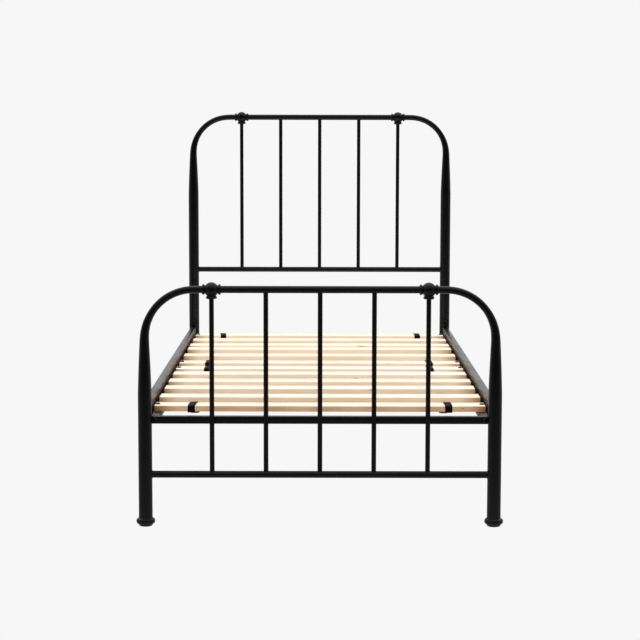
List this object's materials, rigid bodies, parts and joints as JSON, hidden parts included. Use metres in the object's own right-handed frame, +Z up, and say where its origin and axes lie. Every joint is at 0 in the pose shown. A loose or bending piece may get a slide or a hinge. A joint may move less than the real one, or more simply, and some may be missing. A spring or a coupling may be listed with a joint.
{
  "type": "metal bed frame",
  "caption": "Arched tube bed frame with spindled headboard and footboard, cast knuckles, side rails and strapped wooden slats.",
  "frame": {"origin": "on the floor, at the middle of the bed's outline", "axes": "+Z up, +Y along the bed from the footboard to the headboard, +X to the right when looking from the footboard"},
  "size_m": [0.991, 1.981, 1.1285],
  "materials": {
    "black_paint": "satin black powder coat on steel tube",
    "cast_knuckle": "satin black powder coat on a sand-cast knuckle",
    "foot_casting": "satin black powder coat on a cast foot",
    "pine_slat": "sanded, unfinished pale softwood",
    "webbing": "black woven webbing",
    "black_fastener": "black zinc on steel"
  },
  "bodies": {
    "root": {"footboard_post_left": "black_paint", "footboard_post_right": "black_paint", "footboard_top_tube": "black_paint", "footboard_knuckle_left": "cast_knuckle", "footboard_knuckle_right": "cast_knuckle", "footboard_lower_bar": "black_paint", "footboard_spindle_1": "black_paint", "footboard_spindle_2": "black_paint", "footboard_spindle_3": "black_paint", "footboard_spindle_4": "black_paint", "footboard_spindle_5": "black_paint", "footboard_end_rail": "black_paint", "footboard_tab_left": "black_paint", "footboard_tab_right": "black_paint", "headboard_post_left": "black_paint", "headboard_post_right": "black_paint", "headboard_top_tube": "black_paint", "headboard_knuckle_left": "cast_knuckle", "headboard_knuckle_right": "cast_knuckle", "headboard_crossbar": "black_paint", "headboard_spindle_1": "black_paint", "headboard_spindle_2": "black_paint", "headboard_spindle_3": "black_paint", "headboard_spindle_4": "black_paint", "headboard_spindle_5": "black_paint", "headboard_end_rail": "black_paint", "headboard_tab_left": "black_paint", "headboard_tab_right": "black_paint", "foot_front_left": "foot_casting", "foot_front_right": "foot_casting", "foot_back_left": "foot_casting", "foot_back_right": "foot_casting", "side_rail_left": "black_paint", "side_rail_right": "black_paint", "slat_ledge_left": "black_paint", "slat_ledge_right": "black_paint", "saddle_front_left": "black_paint", "saddle_front_right": "black_paint", "saddle_back_left": "black_paint", "saddle_back_right": "black_paint", "slat_01": "pine_slat", "slat_02": "pine_slat", "slat_03": "pine_slat", "slat_04": "pine_slat", "slat_05": "pine_slat", "slat_06": "pine_slat", "slat_07": "pine_slat", "slat_08": "pine_slat", "slat_09": "pine_slat", "slat_10": "pine_slat", "slat_11": "pine_slat", "slat_12": "pine_slat", "strap_front_left": "webbing", "strap_front_right": "webbing", "strap_back_left": "webbing", "strap_back_right": "webbing", "rail_bolts": "black_fastener", "rail_nuts": "black_fastener", "end_rail_bolts": "black_fastener", "slat_screws": "black_fastener"}
  },
  "joints": []
}
